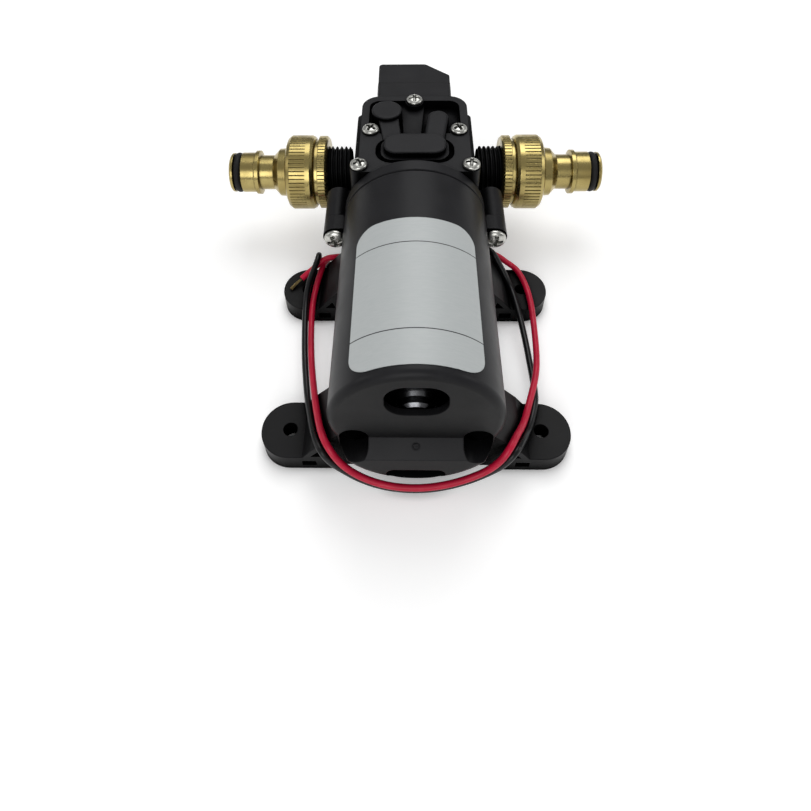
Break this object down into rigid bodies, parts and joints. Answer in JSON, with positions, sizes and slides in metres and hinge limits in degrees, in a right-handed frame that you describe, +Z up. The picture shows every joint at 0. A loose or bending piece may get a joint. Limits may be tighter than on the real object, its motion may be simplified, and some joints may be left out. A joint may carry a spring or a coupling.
{
  "type": "diaphragm pump",
  "caption": "Small electric diaphragm pump with a pressure switch, saddle feet, flying leads and brass hose connectors, for moving clean water at low pressure.",
  "frame": {"origin": "centre of the four mounting holes, on the underside of the saddle feet", "axes": "+X towards the outlet side, +Y along the motor from its rear end to the pressure switch, +Z up"},
  "size_m": [0.1492, 0.1732, 0.0617],
  "materials": {
    "black_plastic": "moulded, fine matt texture",
    "label_film": "satin silver film",
    "zinc_screws": "bright zinc plate",
    "can_steel": "drawn, zinc plated",
    "sintered_bronze": "sintered bronze",
    "ferrite": "ground ferrite",
    "carbon": "pressed carbon",
    "tinned_blades": "tinned",
    "ground_steel": "ground",
    "core_iron": "stacked sheet iron",
    "copper_winding": "enamelled copper",
    "rubber_parts": "moulded rubber",
    "switch_case": "moulded",
    "brass_fittings": "turned, lightly polished",
    "red_insulation": "smooth PVC",
    "black_insulation": "smooth PVC",
    "copper_strands": "tinned copper, tarnished"
  },
  "bodies": {
    "pump": {"rear_foot": "black_plastic", "front_foot": "black_plastic", "foot_screws": "zinc_screws", "motor_sleeve": "black_plastic", "blank_label": "label_film", "sleeve_screws": "zinc_screws", "motor_can": "can_steel", "motor_end_cap": "can_steel", "rear_bush": "sintered_bronze", "front_bush": "sintered_bronze", "field_magnets": "ferrite", "brush_holder": "black_plastic", "brushes": "carbon", "motor_terminals": "tinned_blades", "diaphragm": "rubber_parts", "head_housing": "black_plastic", "valve_plate": "black_plastic", "inlet_valve": "rubber_parts", "outlet_valve": "rubber_parts", "cover_seal": "rubber_parts", "head_cover": "black_plastic", "cover_screws": "zinc_screws", "switch_diaphragm": "rubber_parts", "switch_housing": "black_plastic", "switch_screws": "zinc_screws", "switch_spring": "ground_steel", "switch_cap": "black_plastic", "microswitch": "switch_case", "lead_grommet": "rubber_parts", "inlet_reducer": "brass_fittings", "outlet_reducer": "brass_fittings", "red_lead": "red_insulation", "black_lead": "black_insulation", "red_strands": "copper_strands", "black_strands": "copper_strands"},
    "rotor": {"motor_shaft": "ground_steel", "armature_core": "core_iron", "armature_windings": "copper_winding", "commutator": "copper_winding", "eccentric": "ground_steel", "eccentric_screw": "ground_steel", "bearing_inner_ring": "ground_steel"},
    "rod": {"bearing_outer_ring": "ground_steel", "bearing_balls": "ground_steel", "connecting_rod": "black_plastic", "diaphragm_insert": "can_steel"},
    "switch_plunger": {"switch_plunger": "black_plastic"},
    "inlet_seal": {"inlet_washer": "rubber_parts"},
    "inlet_nut": {"inlet_connector": "brass_fittings", "inlet_oring": "rubber_parts"},
    "outlet_seal": {"outlet_washer": "rubber_parts"},
    "outlet_nut": {"outlet_connector": "brass_fittings", "outlet_oring": "rubber_parts"}
  },
  "joints": [
    {"name": "rotor_spin", "type": "hinge", "parent": "pump", "child": "rotor", "pos_m": [0, 0.057, 0.0355], "axis": [0, 1, 0], "continuous": true, "deforming": ["diaphragm"]},
    {"name": "rod_pivot", "type": "hinge", "parent": "rotor", "child": "rod", "pos_m": [0, 0.057, 0.0365], "axis": [0, 1, 0], "continuous": true},
    {"name": "switch_plunger_slide", "type": "slide", "parent": "pump", "child": "switch_plunger", "axis": [0, 1, 0], "range_m": [0, 0.001], "stiffness_N_per_m": 1200, "springref_m": -0.0008, "deforming": ["switch_spring"]},
    {"name": "inlet_nut_turn", "type": "hinge", "parent": "inlet_seal", "child": "inlet_nut", "pos_m": [-0.046, 0.0735, 0.03], "axis": [-1, 0, 0], "range_deg": [0, 1440]},
    {"name": "inlet_nut_travel", "type": "slide", "parent": "pump", "child": "inlet_seal", "axis": [-1, 0, 0], "range_m": [0, 0.00726]},
    {"name": "outlet_nut_turn", "type": "hinge", "parent": "outlet_seal", "child": "outlet_nut", "pos_m": [0.046, 0.0735, 0.03], "axis": [1, 0, 0], "range_deg": [0, 1440]},
    {"name": "outlet_nut_travel", "type": "slide", "parent": "pump", "child": "outlet_seal", "axis": [1, 0, 0], "range_m": [0, 0.00726]}
  ],
  "couplings": [
    {"joint": "rod_pivot", "follows": "rotor_spin", "ratio": -1},
    {"joint": "inlet_nut_turn", "follows": "inlet_nut_travel", "rad_per_m": 3463.2},
    {"joint": "outlet_nut_turn", "follows": "outlet_nut_travel", "rad_per_m": 3463.2}
  ]
}
